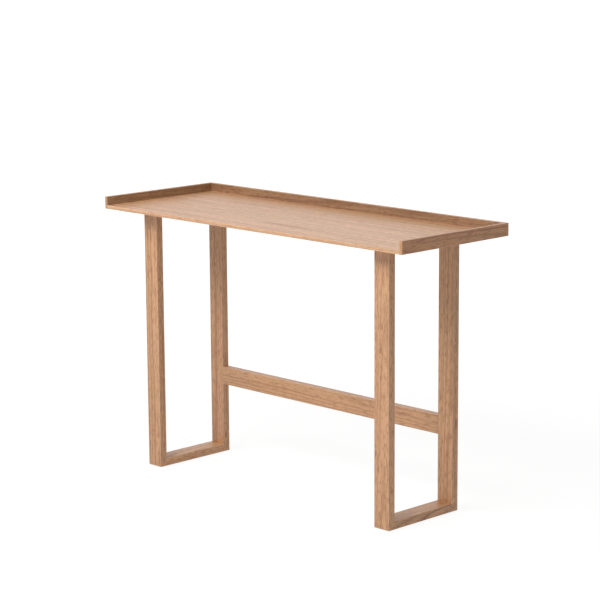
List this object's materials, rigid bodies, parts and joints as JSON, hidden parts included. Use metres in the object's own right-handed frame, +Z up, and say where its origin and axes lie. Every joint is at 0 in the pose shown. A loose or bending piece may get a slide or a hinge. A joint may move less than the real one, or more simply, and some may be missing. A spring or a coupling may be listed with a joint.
{
  "type": "standing desk",
  "caption": "Oak standing desk: a thin top in a low three-sided gallery on U-shaped mitred leg frames with a rear stretcher.",
  "frame": {"origin": "on the floor, below the middle of the desk", "axes": "+X along the desk to the user's right, +Y from the open front to the back, +Z up"},
  "size_m": [1.325, 0.47, 0.9],
  "materials": {
    "oak": "solid oak, matt oiled, warm honey to pink beige",
    "joinery_beech": "plain beech, unfinished, glued in",
    "black_steel": "matt black powder coat",
    "zinc_steel": "bright zinc plate",
    "brass": "plain turned brass",
    "nylon": "moulded beige nylon"
  },
  "bodies": {
    "root": {"desktop": "oak", "left_gallery_board": "oak", "right_gallery_board": "oak", "rear_gallery_board": "oak", "stretcher": "oak", "left_front_leg": "oak", "left_rear_leg": "oak", "left_foot_rail": "oak", "right_front_leg": "oak", "right_rear_leg": "oak", "right_foot_rail": "oak", "gallery_corner_splines": "joinery_beech", "left_mitre_tenons": "joinery_beech", "right_mitre_tenons": "joinery_beech", "left_top_plate": "black_steel", "left_plate_bolts": "zinc_steel", "left_leg_inserts": "brass", "left_top_screws": "zinc_steel", "left_screw_washers": "zinc_steel", "left_front_glide": "nylon", "left_rear_glide": "nylon", "right_top_plate": "black_steel", "right_plate_bolts": "zinc_steel", "right_leg_inserts": "brass", "right_top_screws": "zinc_steel", "right_screw_washers": "zinc_steel", "right_front_glide": "nylon", "right_rear_glide": "nylon", "glide_screws": "zinc_steel"}
  },
  "joints": []
}
